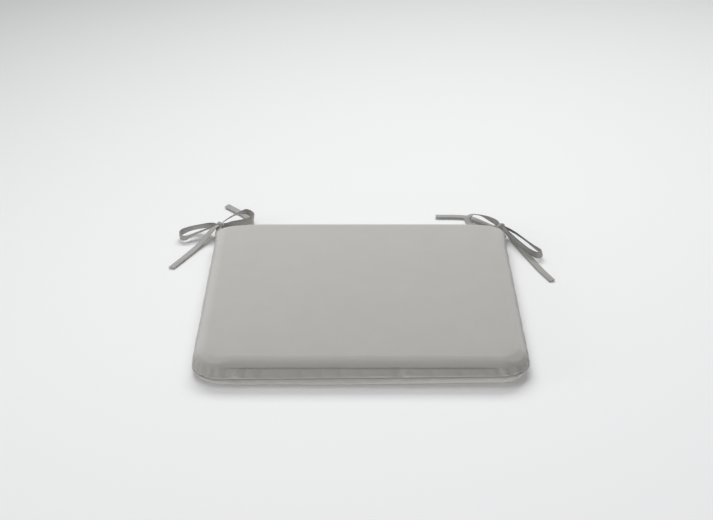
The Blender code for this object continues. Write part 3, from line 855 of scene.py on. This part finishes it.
def ribbon(name, rows, corner, settings):
    """(a folded and stitched ribbon along rows of x, y, z, lean and width share, its path)."""
    places = [Vector(row[:3]) * MM + Vector((corner.x, corner.y, 0)) for row in rows]
    upper = [*RIBBON_EDGE, *((-a, b) for a, b in reversed(RIBBON_EDGE[:-1]))]
    ring = [*upper, *((a, -b) for a, b in reversed(upper[1:-1]))]
    count = len(ring)
    points, uvs, painted_lights, run = [], [], [], 0.0
    for i, row in enumerate(rows):
        along = (places[min(i + 1, len(rows) - 1)] - places[max(i - 1, 0)]).normalized()
        level = along.cross(Vector((0, 0, 1))).normalized()
        lean = radians(row[3])
        across = cos(lean) * level + sin(lean) * level.cross(along)
        wide = row[4] * settings.width / 2
        up = across.cross(along)
        thick = settings.thickness / 2 * (1 + 0.25 * noise.noise(places[i] * 180))
        if i:
            run += (places[i] - places[i - 1]).length
        for a, b in ring:
            points.append(places[i] + across * a * wide + up * b * thick)
            uvs.append((a * wide, run))
            # Painted shade: the ribbon is made darker towards its folded edges.
            painted_lights.append(-0.8 * ramp(abs(a), 0.55, 1.0))
    faces = [tuple(range(count)), tuple(reversed(range(len(points) - count, len(points))))]
    for i in range(len(rows) - 1):
        for k in range(count):
            j = (k + 1) % count
            faces.append((i * count + j, i * count + k, (i + 1) * count + k, (i + 1) * count + j))
    obj = new_mesh(name, points, faces, uvs, painted_lights)
    select(obj)
    bpy.ops.object.mode_set(mode="EDIT")
    bpy.ops.mesh.select_all(action="SELECT")
    bpy.ops.mesh.normals_make_consistent(inside=False)
    bpy.ops.object.mode_set(mode="OBJECT")
    return smooth(obj, 70), places


class SEATPAD_OT_cover(bpy.types.Operator):
    """The sewn cover: a crowned top panel with a gathered skirt, and a bottom panel"""

    bl_idname = "seatpad.cover"
    bl_label = "Cover"

    def execute(self, context):
        settings = context.scene.seatpad_cover
        cloth = woven("cover_cloth", settings.colour, settings.thread_pitch)
        top = Skin(TOP_SECTION, 640, settings.crown / MM).build("top_panel")
        bottom = Skin(BOTTOM_SECTION, 480, up=False).build("bottom_panel")
        for obj, node in ((top, "cover_top_panel"), (bottom, "cover_bottom_panel")):
            apply(obj, "SOLIDIFY", thickness=settings.cloth, offset=-1.0)
            smooth(obj, 60)
            place(obj, "pad", "cover", cloth, node)
        return {"FINISHED"}


class SEATPAD_OT_filling(bpy.types.Operator):
    """The foam slab and the wadding over its top and sides"""

    bl_idname = "seatpad.filling"
    bl_label = "Filling"

    def execute(self, context):
        crown = context.scene.seatpad_cover.crown / MM
        wadding = Skin(WADDING_SECTION, 320, crown, plain=True).build("wadding")
        apply(wadding, "SOLIDIFY", thickness=WADDING, offset=-1.0)
        smooth(wadding, 60)
        place(wadding, "pad", "wadding", fluffy("wadding_fibres", (0.86, 0.86, 0.84)), "wadding_wrap")
        foam = Skin(FOAM_TOP_SECTION, 240, crown, plain=True).build("foam_slab")
        floor = Skin(FOAM_FLOOR_SECTION, 240, up=False, plain=True).build("foam_floor")
        join(foam, floor)
        bpy.ops.object.mode_set(mode="EDIT")
        bpy.ops.mesh.select_all(action="SELECT")
        bpy.ops.mesh.remove_doubles(threshold=0.00001)
        bpy.ops.object.mode_set(mode="OBJECT")
        smooth(foam, 60)
        place(foam, "pad", "foam", foamed("foam_cells", (0.80, 0.77, 0.60)), "foam_core")
        return {"FINISHED"}


def plain_box(name, low, high):
    """A box between two corners, in millimetres, left in edit mode with all of it selected."""
    low, high = Vector(low) * MM, Vector(high) * MM
    deselect()
    bpy.ops.mesh.primitive_cube_add(size=1.0)
    obj = bpy.context.object
    obj.name = name
    bpy.ops.object.mode_set(mode="EDIT")
    bpy.ops.mesh.select_all(action="SELECT")
    bpy.ops.transform.resize(value=high - low)
    bpy.ops.transform.translate(value=(low + high) / 2)
    return obj


def block(name, low, high, bevel, segments=2):
    """A box with its edges rounded."""
    obj = plain_box(name, low, high)
    bpy.ops.mesh.bevel(offset=bevel * MM, segments=segments, affect="EDGES")
    bpy.ops.object.mode_set(mode="OBJECT")
    return obj


def round_corners(obj, axis, radius):
    """Rounds the edges of a box that run along an axis."""
    select(obj)
    mesh = obj.data
    for edge in mesh.edges:
        a, b = (mesh.vertices[k].co for k in edge.vertices)
        way = (b - a).normalized()
        edge.select = abs(way[axis]) > 0.99
    for part in (*mesh.vertices, *mesh.polygons):
        part.select = False
    for edge in mesh.edges:
        if edge.select:
            for k in edge.vertices:
                mesh.vertices[k].select = True
    bpy.ops.object.mode_set(mode="EDIT")
    bpy.ops.mesh.select_mode(type="EDGE")
    bpy.ops.mesh.bevel(offset=radius * MM, segments=6, affect="EDGES")
    bpy.ops.object.mode_set(mode="OBJECT")
    return obj


def plate(name, low, high, radius, bevel):
    """A thin plate across Y with round corners and softened edges."""
    obj = plain_box(name, low, high)
    bpy.ops.object.mode_set(mode="OBJECT")
    round_corners(obj, 1, radius)
    limit = {"limit_method": "ANGLE", "angle_limit": radians(50)}
    return apply(obj, "BEVEL", width=bevel * MM, segments=2, **limit)


def join(first, *others):
    """The first object, with the others made part of it."""
    select(first)
    for other in others:
        other.select_set(True)
    bpy.ops.object.join()
    return first


def cut(obj, cutter):
    """Takes the cutter's shape out of the object."""
    apply(obj, "BOOLEAN", object=cutter, operation="DIFFERENCE", solver="EXACT")
    bpy.data.objects.remove(cutter)
    return obj


def copies(name, template, places):
    """One object of copies of a template's mesh, each at a place given as a matrix."""
    bm = bmesh.new()
    for matrix in places:
        mesh = template.data.copy()
        mesh.transform(matrix)
        bm.from_mesh(mesh)
        bpy.data.meshes.remove(mesh)
    joined = bpy.data.meshes.new(name)
    bm.to_mesh(joined)
    bm.free()
    obj = bpy.data.objects.new(name, joined)
    bpy.context.scene.collection.objects.link(obj)
    bpy.data.objects.remove(template)
    return smooth(obj, 60)


def stitch(span, thickness):
    """One stitch of thread along X, sunk at its ends."""
    deselect()
    bpy.ops.mesh.primitive_uv_sphere_add(segments=6, ring_count=6, radius=1.0)
    obj = bpy.context.object
    bpy.ops.object.mode_set(mode="EDIT")
    bpy.ops.mesh.select_all(action="SELECT")
    bpy.ops.transform.rotate(value=pi / 2, orient_axis="Y", center_override=(0, 0, 0))
    bpy.ops.transform.resize(value=(span / 2, thickness / 2, thickness / 2))
    bpy.ops.object.mode_set(mode="OBJECT")
    return obj


class SEATPAD_OT_seam(bpy.types.Operator):
    """The thread: ladder stitches down in the seam, and a topstitched row along each edge of the zip"""

    bl_idname = "seatpad.seam"
    bl_label = "Stitching"

    def execute(self, context):
        each_side = round(0.39 / LADDER_PITCH)
        places = []
        for side in range(4):
            for k in range(each_side):
                spot, outward, _ = plan(side, (k + 0.5) / each_side, 0.0008)
                if zip_share(spot) > 0.02:
                    continue
                across = Vector((-outward.y, outward.x, 0))
                tip = Vector((0, 0, 1)) + across * 0.5
                turn = Vector((1, 0, 0)).rotation_difference(tip).to_matrix().to_4x4()
                height = SEAM + seam_lift(spot) * MM
                places.append(Matrix.Translation((spot.x, spot.y, height)) @ turn)
        ladder = copies("ladder_stitches", stitch(0.0011, 0.0003), places)
        rows = [
            Matrix.Translation((TOPSTITCH_START + TOPSTITCH_PITCH * k, HALF - inset, height))
            for inset, height in TOPSTITCH_ROWS
            for k in range(TOPSTITCHES)
        ]
        topstitch = copies("zip_topstitch", stitch(0.0021, 0.00034), rows)
        thread = plastic("sewing_thread", (0.40, 0.39, 0.37), 0.7)
        place(join(ladder, topstitch), "pad", "thread", thread, "seam_stitching")
        return {"FINISHED"}


class SEATPAD_OT_zip(bpy.types.Operator):
    """The zip in the back: woven tapes, coil, stops, slider and puller"""

    bl_idname = "seatpad.zip"
    bl_label = "Zip"

    def execute(self, context):
        settings = context.scene.seatpad_zip
        weave = woven("zip_tape_weave", (0.44, 0.43, 0.41), 0.0003)
        nylon = plastic("zip_coil_nylon", (0.42, 0.42, 0.40), 0.35)
        metal = plated("zip_nickel", settings.metal)
        for half in ("upper", "lower"):
            self.tape(half, weave)
            self.coil(half, settings, nylon)
        for half in ("upper", "lower", "end"):
            low, high = (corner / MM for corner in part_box(f"zip_stop_{half}"))
            place(block(f"stop_{half}", low, high, 0.35), "pad", "zip_metal", metal, f"zip_stop_{half}")
        self.slider(metal)
        self.puller(metal)
        return {"FINISHED"}

    def tape(self, half, weave):
        """A woven strip with its corded edge next to the coil."""
        low, high = (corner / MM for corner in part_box(f"zip_tape_{half}"))
        strip = block(f"tape_{half}", low, high, 0.2)
        inner = low.z if half == "upper" else high.z
        cord_half = 0.28
        shift = cord_half if half == "upper" else -cord_half
        corded = block(
            f"tape_cord_{half}",
            (low.x, low.y - 0.02, inner + shift - cord_half),
            (high.x, high.y + 0.12, inner + shift + cord_half),
            0.2,
        )
        strip = join(strip, corded)
        layer = strip.data.uv_layers.active or strip.data.uv_layers.new()
        layer.name = "Cloth"
        for loop in strip.data.loops:
            at = strip.data.vertices[loop.vertex_index].co
            layer.data[loop.index].uv = (at.x, at.z)
        strip.data.attributes.new("PaintedLight", "FLOAT", "POINT")
        place(smooth(strip), "pad", "zip_tape", weave, f"zip_tape_{half}")

    def coil(self, half, settings, nylon):
        """One filament wound in flat turns, each turn reaching between two of the other half's."""
        low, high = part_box(f"zip_coil_{half}")
        filament = settings.filament
        deselect()
        tube = 0.28
        bpy.ops.mesh.primitive_torus_add(
            major_segments=12, minor_segments=5, major_radius=1.0, minor_radius=tube,
            rotation=(0, pi / 2, 0),
        )
        turn = bpy.context.object
        bpy.ops.object.transform_apply()
        bpy.ops.object.mode_set(mode="EDIT")
        bpy.ops.mesh.select_all(action="SELECT")
        across = 2 * (1.0 + tube)
        size = (filament / (2 * tube), (high.y - low.y) / across, (high.z - low.z) / across)
        bpy.ops.transform.resize(value=size)
        bpy.ops.object.mode_set(mode="OBJECT")
        start = low.x + filament / 2 + (0 if half == "upper" else settings.coil_pitch / 2)
        count = int((high.x - filament / 2 - start) / settings.coil_pitch)
        middle = (low + high) / 2
        places = [
            Matrix.Translation((start + k * settings.coil_pitch, middle.y, middle.z)) for k in range(count)
        ]
        wound = copies(f"coil_{half}", turn, places)
        place(wound, "pad", "zip_coil", nylon, f"zip_coil_{half}")

    def slider(self, metal):
        """Two round-cornered plates with side lips, the post between them and the puller's bridge."""
        low, high = (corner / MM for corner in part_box("zip_slider"))
        middle = (low + high) / 2
        pivot = HINGES["zip_puller_hinge"] / MM
        outer = pivot.y - 0.9
        back = plate("slider_body", (low.x, low.y, low.z), (high.x, low.y + 0.9, high.z), 1.6, 0.25)
        front = plate("slider_front", (low.x, outer - 0.9, low.z), (high.x, outer, high.z), 1.6, 0.25)
        half_width = 0.6

        def bar(name, start, end, bevel, segments=2):
            """A bar along the slider's middle between two places of x and y."""
            ends = ((*start, middle.z - half_width), (*end, middle.z + half_width))
            return block(name, *ends, bevel, segments)

        post = bar("slider_post", (high.x - 2.4, low.y + 0.5), (high.x - 0.3, outer - 0.5), 0.2)
        lips = [
            block(f"slider_lip_{k}", (low.x + 0.9, low.y + 0.5, a), (high.x - 0.9, low.y + 2.9, b), 0.15)
            for k, (a, b) in enumerate(((low.z, low.z + 0.55), (high.z - 0.55, high.z)))
        ]
        bridge = [
            bar("bridge_foot_a", (pivot.x - 2.5, outer - 0.4), (pivot.x - 1.5, high.y), 0.25),
            bar("bridge_foot_b", (pivot.x + 1.5, outer - 0.4), (pivot.x + 2.5, high.y), 0.25),
            bar("bridge_beam", (pivot.x - 2.5, high.y - 0.8), (pivot.x + 2.5, high.y), 0.3, 3),
        ]
        body = join(back, front, post, *lips, *bridge)
        body.name = "slider"
        place(smooth(body), "zip_slider", "zip_metal", metal, "zip_slider")

    def puller(self, metal):
        """A round-ended tab with a sunk panel, and a window round the bridge's foot."""
        low, high = (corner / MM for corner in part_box("zip_puller"))
        tab = plate("puller", low, high, 1.1, 0.2)
        pivot = HINGES["zip_puller_hinge"] / MM
        start = (pivot.x - 3.1, low.y - 1, pivot.z - 1.3)
        end = (pivot.x - 0.5, high.y + 1, pivot.z + 1.3)
        cut(tab, plate("puller_window", start, end, 0.35, 0.02))
        for y, way in ((high.y, 1), (low.y, -1)):
            inner, outer = sorted((y - way * 0.18, y + way))
            start = (low.x + 1.6, inner, low.z + 1.1)
            end = (high.x - 5.2, outer, high.z - 1.1)
            cut(tab, plate("puller_panel", start, end, 0.6, 0.03))
        place(smooth(tab, 30), "zip_puller", "zip_metal", metal, "zip_puller")


OPERATORS = (
    SEATPAD_OT_stage,
    SEATPAD_OT_ties,
    SEATPAD_OT_cover,
    SEATPAD_OT_filling,
    SEATPAD_OT_seam,
    SEATPAD_OT_zip,
)


class SEATPAD_PT_panel(bpy.types.Panel):
    """Lists the pieces of the seat pad and their settings"""

    bl_label = "Seat Pad"
    bl_idname = "SEATPAD_PT_panel"
    bl_space_type = "VIEW_3D"
    bl_region_type = "UI"
    bl_category = "Seat Pad"

    def draw(self, context):
        for group in ("seatpad_stage", "seatpad_tie", "seatpad_cover", "seatpad_zip"):
            settings = getattr(context.scene, group)
            for name in settings.bl_rna.properties.keys():
                if name not in ("rna_type", "name"):
                    self.layout.prop(settings, name)
        for operator in OPERATORS:
            self.layout.operator(operator.bl_idname)


SETTINGS = {
    "seatpad_cover": CoverSettings,
    "seatpad_tie": TieSettings,
    "seatpad_zip": ZipSettings,
    "seatpad_stage": StageSettings,
}


def register():
    for kind in (*SETTINGS.values(), *OPERATORS, SEATPAD_PT_panel):
        bpy.utils.register_class(kind)
    for name, kind in SETTINGS.items():
        setattr(bpy.types.Scene, name, bpy.props.PointerProperty(type=kind))


def unregister():
    for name in SETTINGS:
        delattr(bpy.types.Scene, name)
    for kind in reversed((*SETTINGS.values(), *OPERATORS, SEATPAD_PT_panel)):
        bpy.utils.unregister_class(kind)


def main():
    register()
    for operator in OPERATORS:
        getattr(bpy.ops.seatpad, operator.bl_idname.split(".")[1])()


if __name__ == "__main__":
    main()
